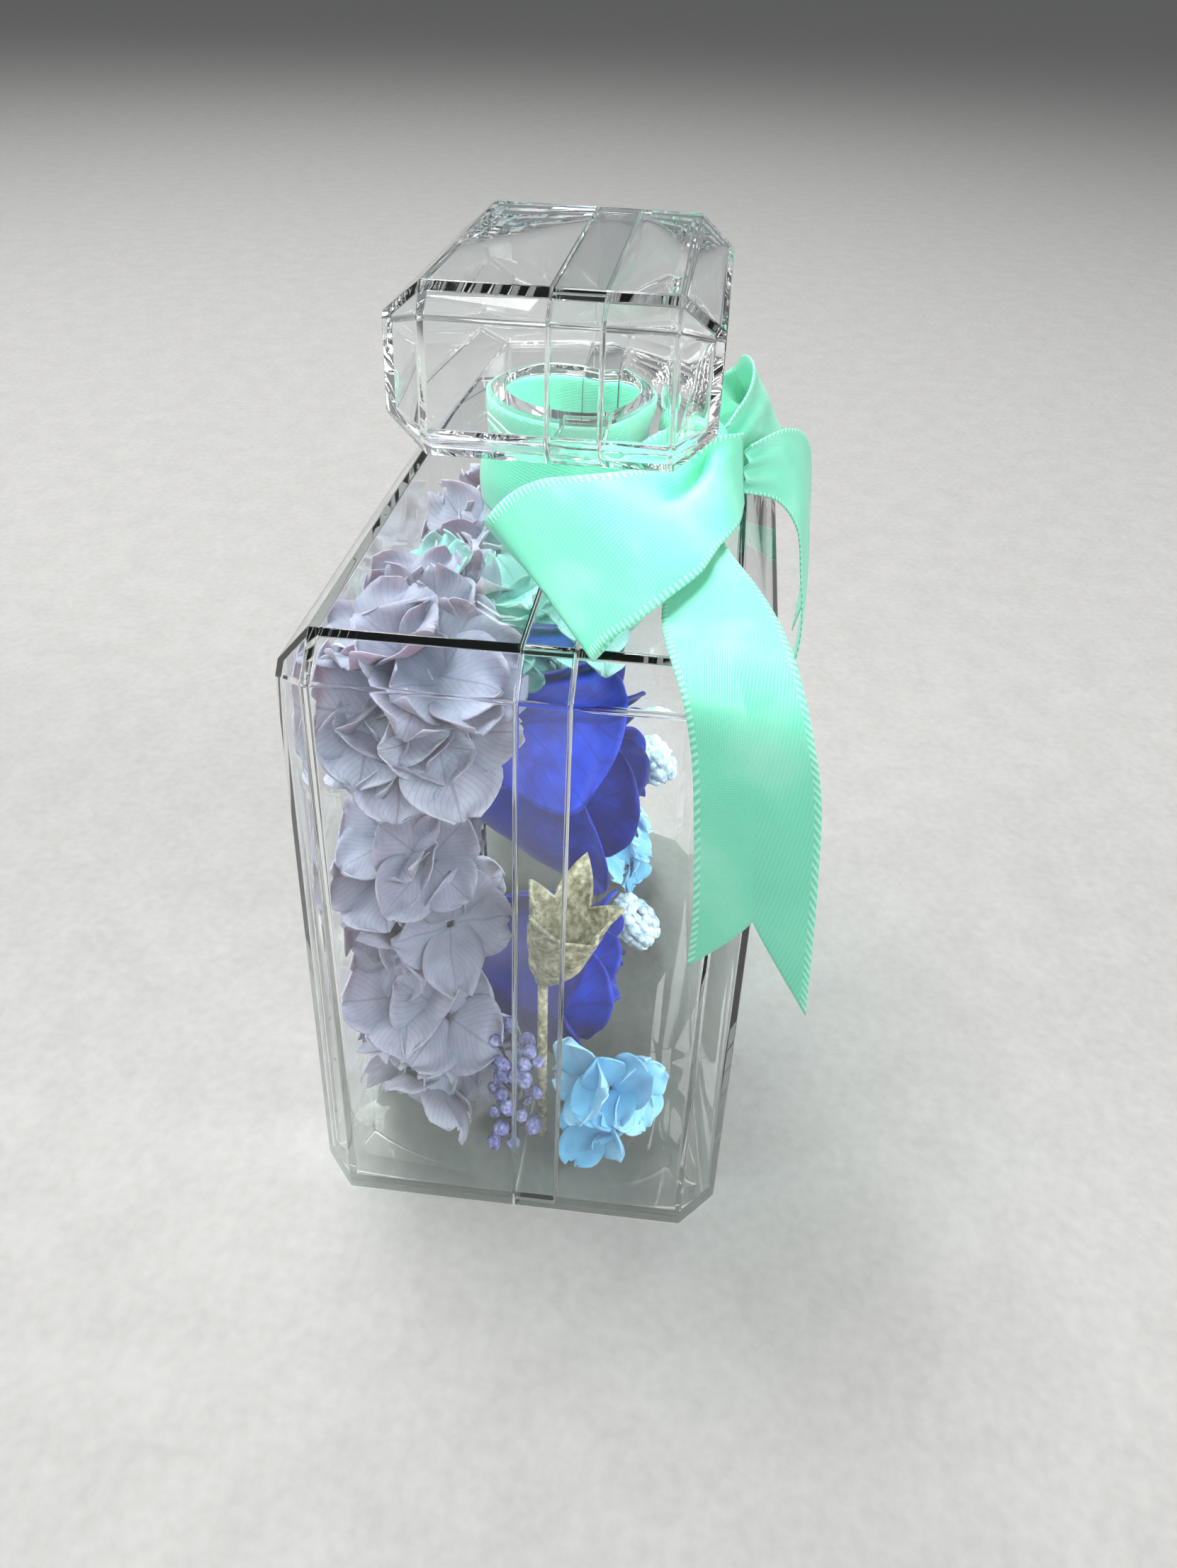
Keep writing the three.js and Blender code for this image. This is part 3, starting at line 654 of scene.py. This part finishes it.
@dataclass
class Rose:
    """A preserved rose lying on its side, facing the front, petal by petal."""

    name: str
    base: tuple[float, float, float]
    radius: float
    height: float
    tilt: float
    yaw: float
    seed: int
    rings: Sequence[PetalRing] = (
        PetalRing("inner", 3, 0.46, 0.94, 0.04, 0.2),
        PetalRing("middle", 3, 0.66, 0.9, 0.12, 0.9),
        PetalRing("outer", 4, 0.85, 0.78, 0.26, 0.5),
    )

    def placed(self, point: Vector) -> Vector:
        """Turn a point of the upright rose to the way it faces, and put it in place.

        Args:
            point: The point, in millimetres, on a rose that opens upwards.

        Returns:
            The point in the bottle, in metres.
        """
        turn = Matrix.Rotation(self.yaw, 3, "Z") @ Matrix.Rotation(math.pi / 2 + self.tilt, 3, "X")
        return (turn @ point + Vector(self.base)) * MM

    def petal_surface(self, ring: PetalRing, index: int, wild: random.Random) -> Surface:
        """Return the surface of one petal.

        Args:
            ring: The ring that it stands in.
            index: Its number in the ring.
            wild: The petal's own random numbers.

        Returns:
            The surface, u across and v from base to tip.
        """
        middle = ring.start + index / ring.petals * 2 * math.pi
        reach = 1.16 * math.pi / ring.petals
        phase = wild.uniform(0, 6)
        roll = wild.uniform(0.8, 1.2)

        def surface(u: float, v: float) -> Vector:
            side = 2 * u - 1
            share = 0.5 + 0.5 * math.sin(min(1, v * 1.5) * math.pi / 2)
            shoulder = math.sqrt(max(0.0, 1 - max(0.0, (v - 0.62) / 0.38) ** 2.6 * 0.5))
            cup = 0.5 + 0.5 * math.sin(min(1, v * 1.6) * math.pi / 2)
            flare = ring.flare * v ** 3
            radius = self.radius * ring.radius * (cup + flare) + 0.86 * side * cup
            lip = max(0.0, v - 0.8) / 0.2
            curl = lip * lip * roll * (0.9 + 1.3 * ring.flare / 0.26) * (0.4 + 0.6 * (1 - side * side))
            wave = 0.28 * math.sin(5 * side + phase) * v * v + 0.2 * math.sin(11 * side + phase) * lip
            angle = middle + side * reach * share * shoulder
            height = self.height * (0.04 + ring.rise * v * (1 - 0.16 * v * side * side))
            height -= lip * lip * 0.5 * roll
            out = radius + curl + wave
            return self.placed(Vector((out * math.cos(angle), out * math.sin(angle), height)))

        return surface

    def heart(self, petal: bpy.types.Material, wild: random.Random) -> None:
        """Make the rolled bud in the middle out of tight spiral petals.

        Args:
            petal: The petals' material.
            wild: Random numbers.
        """
        bm = bmesh.new()
        for turn in range(6):
            start = turn * 2.4
            size = self.radius * (0.06 + 0.05 * turn)
            top = self.height * (0.96 - 0.012 * turn)
            phase = wild.uniform(0, 6)

            def surface(u: float, v: float, start=start, size=size, top=top, phase=phase) -> Vector:
                angle = start + (u - 0.5) * 3.9
                swell = 0.55 + 0.45 * math.sin(min(1, v * 1.3) * math.pi / 2) - 0.3 * max(0, v - 0.7)
                out = size * swell * (0.85 + 0.3 * u) + 0.1 * math.sin(6 * u + phase) * v
                height = top * (0.06 + 0.94 * v * (1 - 0.03 * math.sin(4 * u + phase)))
                return self.placed(Vector((out * math.cos(angle), out * math.sin(angle), height)))

            # The tone rises from 0.1 at the inmost turn, so the heart's colour deepens towards its middle: painted
            # shade.
            grid_sheet(bm, surface, 24, 22, 0.1 + 0.06 * turn)
        finish_piece(bm, f"{self.name}_heart_petals", petal, "blue_petal", [f"{self.name}_heart"], 0.4 * MM)

    def calyx(self, skin: bpy.types.Material) -> None:
        """Make the cup behind the petals, with five sepals folded back.

        Args:
            skin: The calyx's material.
        """
        bm = bmesh.new()
        for index in range(5):
            angle = index * 2 * math.pi / 5

            def surface(u: float, v: float, angle=angle) -> Vector:
                side = (2 * u - 1) * 0.62 * (1 - 0.75 * v * v)
                out = 0.6 + 5.6 * math.sin(v * math.pi / 2)
                height = -2.1 + 2.4 * v * v
                return self.placed(Vector((
                    out * math.cos(angle + side), out * math.sin(angle + side), height)))

            grid_sheet(bm, surface, 8, 10)
        cup = bmesh.ops.create_cone(bm, cap_ends=True, segments=24, radius1=1.9, radius2=3.4, depth=2.4)["verts"]
        for vert in cup:
            vert.co = self.placed(vert.co + Vector((0, 0, -1.0)))
        finish_piece(bm, f"{self.name}_calyx_cup", skin, "rose_calyx", [f"{self.name}_calyx"], 0.3 * MM)

    def build(self, petal: bpy.types.Material, skin: bpy.types.Material) -> None:
        """Make every petal as its own piece, then the heart and the calyx.

        Args:
            petal: The petals' material.
            skin: The calyx's material.
        """
        wild = random.Random(self.seed)
        for ring in self.rings:
            for index in range(ring.petals):
                bm = bmesh.new()
                grid_sheet(bm, self.petal_surface(ring, index, wild), 30, 30, wild.uniform(0.1, 0.75))
                node = f"{self.name}_{ring.name}_petal_{index + 1}"
                finish_piece(bm, node + "_leaf", petal, "blue_petal", [node], 0.42 * MM)
        self.heart(petal, wild)
        self.calyx(skin)


# ---------------------------------------------------------------- small flowers
CAVITY_LOW = Vector((-47.2, -27.2, 2.4)) * MM
CAVITY_HIGH = Vector((47.2, 27.2, 89.4)) * MM
CAVITY_CORNER = 70.6 * MM


def shut_in(point: Vector) -> Vector:
    """Bring a point in from the case's walls and its cut corners.

    Args:
        point: A point of a flower, in metres.

    Returns:
        The point, inside the case.
    """
    kept = Vector((min(max(value, low), high) for value, low, high in zip(point, CAVITY_LOW, CAVITY_HIGH)))
    over = abs(kept.x) + abs(kept.y) - CAVITY_CORNER
    if over > 0:
        kept.x -= math.copysign(over / 2, kept.x)
        kept.y -= math.copysign(over / 2, kept.y)
    return kept


class Facing(Enum):
    """Which way a sprig of florets shows its faces."""

    NEAR_END = (-1.0, -0.05, 0.25)
    NEAR_TOP = (-0.75, 0.0, 0.7)
    BACK = (0.0, 1.0, 0.15)
    TOP = (-0.1, 0.35, 1.0)
    FRONT = (0.1, -1.0, 0.35)
    FAR_END = (1.0, 0.1, 0.25)


@dataclass
class Sprig:
    """A sprig of hydrangea: four-sepalled florets on short stalks from one stem."""

    node: str
    finish: PreservedSepal
    slot: str
    facing: Facing
    florets: int
    sepal: float
    seed: int
    shade: tuple[float, float] = (0.1, 0.8)

    def floret(self, bm: bmesh.types.BMesh, centre: Vector, lean: Vector, size: float,
               wild: random.Random) -> None:
        """Add one floret.

        Args:
            bm: The sprig's bmesh.
            centre: Where the four sepals meet, in metres.
            lean: The way that the floret faces.
            size: How long a sepal is, in metres.
            wild: Random numbers.
        """
        turn = lean.to_track_quat("Z", "Y").to_matrix() @ Matrix.Rotation(wild.uniform(0, 1.6), 3, "Z")
        tone = wild.uniform(*self.shade)
        for quarter in range(4):
            spin = Matrix.Rotation(quarter * math.pi / 2 + wild.uniform(-0.15, 0.15), 3, "Z")
            lift = wild.uniform(0.05, 0.75)
            wide = wild.uniform(0.85, 1.1)
            phase = wild.uniform(0, 6)
            long = size * wild.uniform(0.88, 1.12)
            curl = wild.uniform(-0.35, 0.5)

            def surface(u: float, v: float) -> Vector:
                side = 2 * u - 1
                half = long * wide * 0.6 * (math.sin(math.pi * min(1, 0.1 + v * 0.86)) ** 0.62)
                reach = long * (0.06 + 0.94 * v) * (1 - 0.08 * side * side * v)
                cup = long * (0.2 * side * side * v + lift * v * (1 - 0.45 * v) + curl * 0.5 * v ** 3)
                ruffle = long * 0.055 * math.sin(7 * side + phase) * v * v
                crumple = long * 0.05 * math.sin(9 * v + 3 * side + phase)
                flat = Vector((reach, side * half, cup + ruffle + crumple * v))
                return shut_in(centre + turn @ (spin @ flat))

            grid_sheet(bm, surface, 10, 10, tone)

    def build(self, materials: dict[str, bpy.types.Material]) -> None:
        """Make the sprig's florets and its stem.

        Args:
            materials: Built materials by finish name, the stalks' among them.
        """
        wild = random.Random(self.seed)
        middle, size = box_middle(self.node)
        facing = Vector(self.facing.value).normalized()
        bm = bmesh.new()
        side = facing.orthogonal().normalized()
        up = facing.cross(side)
        root = middle - facing * abs(facing.dot(size)) * 0.32
        reach = self.sepal * MM
        stems = []
        for index in range(self.florets):
            share = (index + 0.5) / self.florets
            angle = index * 2.39996
            spread = math.sqrt(share)
            half = Vector((max(s / 2 - reach * 0.45, 0.0) for s in size))
            offset = (side * math.cos(angle) + up * math.sin(angle)) * spread
            centre = middle + Vector((offset[i] * half[i] * 1.15 for i in range(3)))
            centre += facing * reach * wild.uniform(-0.45, 0.35)
            lean = (facing + offset * 0.75 + Vector([wild.uniform(-0.3, 0.3) for _ in range(3)])).normalized()
            self.floret(bm, centre, lean, reach * wild.uniform(0.86, 1.1), wild)
            stems.append(centre)
        finish_piece(bm, self.node + "_florets", materials[self.finish.name], self.slot, [self.node], 0.22 * MM)
        stem = bmesh.new()
        for centre in stems:
            add_rod(stem, root, centre, 0.32 * MM)
        finish_piece(stem, self.node + "_stalks", materials[DARK_STEM.name], self.slot, [])


def add_rod(bm: bmesh.types.BMesh, start: Vector, end: Vector, radius: float, sides: int = 7) -> None:
    """Add a closed round rod between two points.

    Args:
        bm: The bmesh that takes it.
        start: One end.
        end: The other end.
        radius: Its radius.
        sides: How many faces go round.
    """
    axis = end - start
    place = Matrix.Translation((start + end) / 2) @ axis.to_track_quat("Z", "Y").to_matrix().to_4x4()
    made = bmesh.ops.create_cone(bm, cap_ends=True, segments=sides, radius1=radius, radius2=radius * 0.8,
                                 depth=axis.length, matrix=place)["verts"]
    for vert in made:
        for face in vert.link_faces:
            face.smooth = len(face.verts) == 4


SPRIGS = (
    Sprig("grey_hydrangea_foot_near", LAVENDER, "lavender_sepal", Facing.NEAR_END, 11, 8.6, 11),
    Sprig("grey_hydrangea_mid_near", LAVENDER, "lavender_sepal", Facing.NEAR_END, 11, 9.0, 12),
    Sprig("grey_hydrangea_top_near", LAVENDER, "lavender_sepal", Facing.NEAR_TOP, 12, 9.0, 13),
    Sprig("grey_hydrangea_back_low", LAVENDER, "lavender_sepal", Facing.BACK, 10, 8.0, 14),
    Sprig("grey_hydrangea_back_mid", LAVENDER, "lavender_sepal", Facing.BACK, 10, 8.0, 15),
    Sprig("grey_hydrangea_top_back", LAVENDER, "lavender_sepal", Facing.TOP, 10, 8.0, 16),
    Sprig("grey_hydrangea_top_far", LAVENDER, "lavender_sepal", Facing.TOP, 11, 8.0, 17),
    Sprig("grey_hydrangea_end_far", LAVENDER, "lavender_sepal", Facing.FAR_END, 12, 8.4, 18),
    Sprig("teal_hydrangea_top", TEAL, "teal_sepal", Facing.NEAR_TOP, 8, 7.0, 19),
    Sprig("teal_hydrangea_far", TEAL, "teal_sepal", Facing.FRONT, 9, 7.4, 20),
    Sprig("pale_blue_hydrangea_near", PALE_BLUE, "pale_blue_sepal", Facing.NEAR_END, 6, 6.6, 21),
    Sprig("pale_blue_hydrangea_far", PALE_BLUE, "pale_blue_sepal", Facing.FRONT, 9, 7.2, 22),
)


@dataclass
class SeedPod:
    """A rough dry pod: a narrow cup whose rim runs out in long uneven points, on a stem."""

    radius: float = 4.8
    height: float = 14.5
    points: Sequence[float] = (1.0, 0.55, 1.15, 0.35, 0.6)

    def point_share(self, angle: float) -> float:
        """Find how far the rim runs out.

        Args:
            angle: Where on the rim, in radians.

        Returns:
            From 0 between the points to about 1 at a long one.
        """
        step = 2 * math.pi / len(self.points)
        nearest = round(angle / step)
        off = abs(angle - nearest * step) / (step / 2)
        return self.points[nearest % len(self.points)] * max(0.0, 1 - off) ** 1.2

    def build(self, skin: bpy.types.Material) -> None:
        """Make the pod's wall and its stem.

        Args:
            skin: The pod's material.
        """
        low, high = (Vector(corner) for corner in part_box("seed_pod"))
        foot = Vector((high.x - 8.4 * MM, high.y - 3.4 * MM, high.z - 19.4 * MM))
        lean = Matrix.Rotation(0.3, 3, "X")

        def surface(u: float, v: float) -> Vector:
            angle = 2 * math.pi * u
            point = self.point_share(angle)
            body = 0.2 + 0.75 * math.sin(min(1, v * 1.6) * math.pi / 2)
            out = self.radius * body * (1 + 1.1 * point * v ** 3)
            out += 0.45 * noise.noise(Vector((math.cos(angle) * 2.4, math.sin(angle) * 2.4, v * 6)))
            height = self.height * (v + 0.3 * point * v ** 3) - 2.4 * v ** 4
            return foot + lean @ Vector((out * math.cos(angle), out * math.sin(angle), height)) * MM

        bm = bmesh.new()
        grid_sheet(bm, surface, 100, 30)
        bmesh.ops.remove_doubles(bm, verts=bm.verts, dist=0.005 * MM)
        add_rod(bm, Vector((foot.x + 2 * MM, foot.y, low.z)), foot + Vector((0, 0, 0.8 * MM)), 0.7 * MM)
        finish_piece(bm, "seed_pod_husk", skin, "dry_pod", ["seed_pod"], 0.5 * MM)


@dataclass
class BudSpray:
    """A spray of small dyed buds on thin dark stalks."""

    node: str
    buds: int
    seed: int
    bud: float = 1.25

    def build(self, bud_skin: bpy.types.Material, stem_skin: bpy.types.Material) -> None:
        """Make the buds and the stalks as two pieces.

        Args:
            bud_skin: The buds' material.
            stem_skin: The stalks' material.
        """
        wild = random.Random(self.seed)
        low, high = (Vector(corner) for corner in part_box(self.node))
        size = high - low
        foot = Vector(((low.x + high.x) / 2, (low.y + high.y) / 2, low.z))
        buds, stalks = bmesh.new(), bmesh.new()
        add_rod(stalks, foot, foot + Vector((0, 0, size.z * 0.8)), 0.55 * MM)
        for index in range(self.buds):
            share = 0.15 + 0.85 * index / self.buds
            angle = index * 2.39996
            wide = wild.uniform(0.25, 0.5)
            tip = foot + Vector((
                size.x * wide * math.cos(angle), size.y * wide * math.sin(angle),
                size.z * min(0.97, share * wild.uniform(0.9, 1.1))))
            add_rod(stalks, foot + Vector((0, 0, size.z * share * 0.7)), tip, 0.2 * MM, 5)
            made = bmesh.ops.create_icosphere(buds, subdivisions=2, radius=self.bud * wild.uniform(0.7, 1.1) * MM)
            for vert in made["verts"]:
                vert.co += vert.co.normalized() * noise.noise(vert.co / MM + tip / MM) * 0.25 * MM + tip
            for face in buds.faces:
                face.smooth = True
        finish_piece(buds, self.node + "_buds", bud_skin, "violet_bud", [self.node])
        finish_piece(stalks, self.node + "_stalks", stem_skin, "violet_bud", [])


@dataclass
class MossClump:
    """A cushion of knobbly preserved moss."""

    node: str
    knobs: int
    seed: int

    def build(self, skin: bpy.types.Material, reach: Vector, middle: Vector) -> None:
        """Make the clump.

        Args:
            skin: The moss material.
            reach: The clump's full size in metres.
            middle: Its middle in metres.
        """
        wild = random.Random(self.seed)
        bm = bmesh.new()
        for index in range(self.knobs):
            share = (index + 0.5) / self.knobs
            tall = 1 - 2 * share
            ring = math.sqrt(1 - tall * tall)
            angle = index * 2.39996
            away = Vector((ring * math.cos(angle) * reach.x, ring * math.sin(angle) * reach.y, tall * reach.z))
            centre = middle + away * 0.38
            radius = wild.uniform(0.9, 1.9) * MM
            made = bmesh.ops.create_icosphere(bm, subdivisions=2, radius=radius)["verts"]
            for vert in made:
                vert.co += vert.co.normalized() * noise.noise(vert.co / MM * 1.4 + centre / MM) * 0.5 * MM + centre
        for face in bm.faces:
            face.smooth = True
        finish_piece(bm, self.node + "_knobs", skin, "moss", [self.node])


@dataclass
class GluePad:
    """A pad of hot-melt glue that holds a rose's calyx to the back shell."""

    node: str

    def build(self, skin: bpy.types.Material) -> None:
        """Make the pad as a squashed, rounded lump.

        Args:
            skin: The glue's material.
        """
        middle, size = box_middle(self.node)
        bm = bmesh.new()
        made = bmesh.ops.create_uvsphere(bm, u_segments=28, v_segments=16, radius=0.5)["verts"]
        for vert in made:
            swell = 1 + 0.08 * noise.noise(vert.co * 4 + middle / MM)
            flat = math.copysign(min(0.5, abs(vert.co.y) * 1.5), vert.co.y)
            vert.co = middle + Vector((vert.co.x * size.x * swell, flat * size.y, vert.co.z * size.z * swell))
        for face in bm.faces:
            face.smooth = True
        finish_piece(bm, self.node + "_pad", skin, "hot_glue", [self.node])


# ---------------------------------------------------------------- studio
@dataclass
class Studio:
    """The floor, the soft lights and the camera."""

    eye_mm: tuple[float, float, float] = (-173.904, -19.775, 161.33)
    yaw: float = 0.0891
    pitch: float = -0.5925
    roll: float = 0.0421
    lens_mm: float = 39.30
    sensor_mm: float = 36.0

    def camera(self) -> None:
        """Stand the camera close to the bottle's narrow end, looking down on it."""
        data = bpy.data.cameras.new("camera")
        data.sensor_fit = "HORIZONTAL"
        data.sensor_width = self.sensor_mm
        data.lens = self.lens_mm
        data.clip_start = 0.005
        camera = bpy.data.objects.new("camera", data)
        bpy.context.scene.collection.objects.link(camera)
        forward = Vector((
            math.cos(self.pitch) * math.cos(self.yaw), math.cos(self.pitch) * math.sin(self.yaw),
            math.sin(self.pitch)))
        right = forward.cross(Vector((0, 0, 1))).normalized()
        up = right.cross(forward)
        turned_right = right * math.cos(self.roll) + up * math.sin(self.roll)
        turned_up = up * math.cos(self.roll) - right * math.sin(self.roll)
        axes = Matrix((turned_right, turned_up, -forward)).transposed().to_4x4()
        camera.matrix_world = Matrix.Translation(Vector(self.eye_mm) * MM) @ axes
        bpy.context.scene.camera = camera

    def floor(self) -> None:
        """Lay a wide pale board under the bottle."""
        bm = bmesh.new()
        bmesh.ops.create_grid(bm, x_segments=1, y_segments=1, size=12.0)
        mesh = bpy.data.meshes.new("floor")
        bm.to_mesh(mesh)
        bm.free()
        mesh.materials.append(PALE_FLOOR.build())
        board = bpy.data.objects.new("floor", mesh)
        bpy.context.scene.collection.objects.link(board)

    def light(self, name: str, place: tuple[float, float, float], size: float, power: float) -> None:
        """Hang one square soft light, turned to the bottle.

        Args:
            name: The light's name.
            place: Where it hangs, in metres.
            size: The length of its side, in metres.
            power: Its power in watts.
        """
        data = bpy.data.lights.new(name, "AREA")
        data.size = size
        data.energy = power
        lamp = bpy.data.objects.new(name, data)
        lamp.location = place
        aim = Vector((0, 0, 0.06)) - Vector(place)
        lamp.rotation_euler = aim.to_track_quat("-Z", "Y").to_euler()
        bpy.context.scene.collection.objects.link(lamp)

    def build(self) -> None:
        """Set up the whole studio."""
        self.camera()
        self.floor()
        self.light("overhead", (0.15, 0.25, 1.0), 0.4, 8.5)
        self.light("front side", (-0.3, -0.9, 0.5), 0.45, 6.0)
        self.light("behind", (0.8, 0.3, 1.1), 0.6, 7.0)
        self.light("near end fill", (-1.0, -0.35, 0.75), 0.6, 5.0)
        self.light("back side", (-0.2, 0.9, 0.5), 0.4, 4.0)
        world = bpy.data.worlds.new("studio")
        world.use_nodes = True
        world.node_tree.nodes["Background"].inputs["Color"].default_value = linear("#F2F5F7")
        world.node_tree.nodes["Background"].inputs["Strength"].default_value = 0.27
        bpy.context.scene.world = world
        bpy.context.scene.view_settings.view_transform = "Standard"
        # Light runs round inside the clear walls many times before it gets out of their edges.
        cycles = bpy.context.scene.cycles
        cycles.max_bounces = 18
        cycles.glossy_bounces = 14
        cycles.transmission_bounces = 18
        cycles.transparent_max_bounces = 32


# ---------------------------------------------------------------- assembly
ROSES = (
    Rose("upper_rose", (-8, 16.5, 52.4), 16.8, 33, 0.06, 0.05, 31),
    Rose("lower_rose", (-17.2, 15.5, 17.4), 13.6, 30, -0.03, 0.03, 32),
)


def main() -> None:
    """Build every sub-assembly in order."""
    logging.basicConfig(level=logging.INFO, format="%(name)s: %(message)s")
    Studio().build()
    BottleCase().build()
    SatinBow().build()
    finishes = (BLUE_PETAL, LAVENDER, TEAL, PALE_BLUE, SEED_POD, VIOLET_BUD, DARK_STEM, CALYX, MOSS, HOT_GLUE)
    materials = {finish.name: finish.build() for finish in finishes}
    for rose in ROSES:
        rose.build(materials[BLUE_PETAL.name], materials[CALYX.name])
    for sprig in SPRIGS:
        sprig.build(materials)
    SeedPod().build(materials[SEED_POD.name])
    for node, buds, seed in (("bud_spray_near", 34, 41), ("bud_spray_far", 34, 42)):
        BudSpray(node, buds, seed).build(materials[VIOLET_BUD.name], materials[DARK_STEM.name])
    low_middle, low_size = box_middle("moss_low")
    MossClump("moss_low", 60, 51).build(materials[MOSS.name], low_size, low_middle)
    corner, top = (Vector(point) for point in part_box("moss_high"))
    cushion = Vector((9.4, 9.4, 10.0)) * MM
    moss_middle = Vector((corner.x + cushion.x / 2, corner.y + cushion.y / 2, top.z - cushion.z / 2))
    MossClump("moss_high", 50, 52).build(materials[MOSS.name], cushion, moss_middle)
    for node in ("upper_rose_glue", "lower_rose_glue"):
        GluePad(node).build(materials[HOT_GLUE.name])


if __name__ == "__main__":
    main()
